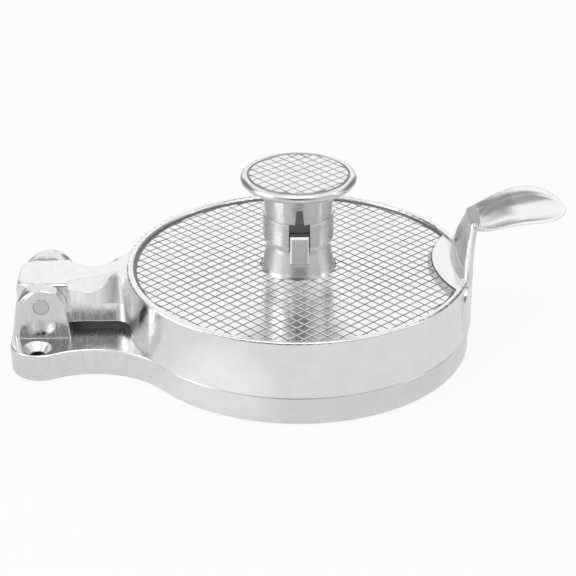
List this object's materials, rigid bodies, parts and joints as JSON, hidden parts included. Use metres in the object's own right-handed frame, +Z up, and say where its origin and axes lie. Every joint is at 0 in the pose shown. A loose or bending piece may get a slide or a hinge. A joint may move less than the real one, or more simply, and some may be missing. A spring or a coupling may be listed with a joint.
{
  "type": "burger press",
  "caption": "Hinged round burger press: dished base with screw-down hinge slab, knurled lid with a palm-rest handle, and a knob-driven press plate set by a keyed ring.",
  "frame": {"origin": "centre of the round press on the flat underside of the base", "axes": "+Z up, +X from the press towards the handle with the hinge at -X, the hinge pin along Y"},
  "size_m": [0.2029, 0.1284, 0.0677],
  "materials": {
    "base_aluminium": "polished casting",
    "pin_steel": "ground",
    "lid_aluminium": "polished casting",
    "key_steel": "ground",
    "ring_aluminium": "turned and polished",
    "knob_aluminium": "turned and polished",
    "stem_steel": "turned",
    "plate_aluminium": "satin",
    "screw_steel": "plain"
  },
  "bodies": {
    "base": {"base_casting": "base_aluminium", "hinge_pin": "pin_steel"},
    "lid": {"lid_casting": "lid_aluminium", "index_key": "key_steel"},
    "plunger": {"press_plate": "plate_aluminium", "plunger_stem": "stem_steel", "plate_screw": "screw_steel", "index_ring": "ring_aluminium", "knob": "knob_aluminium"}
  },
  "joints": [
    {"name": "lid_hinge", "type": "hinge", "parent": "base", "child": "lid", "pos_m": [-0.0939, 0, 0.0236], "axis": [0, -1, 0], "range_deg": [0, 150]},
    {"name": "plunger_lift", "type": "slide", "parent": "lid", "child": "plunger", "axis": [0, 0, 1], "range_m": [0, 0.0098]}
  ]
}
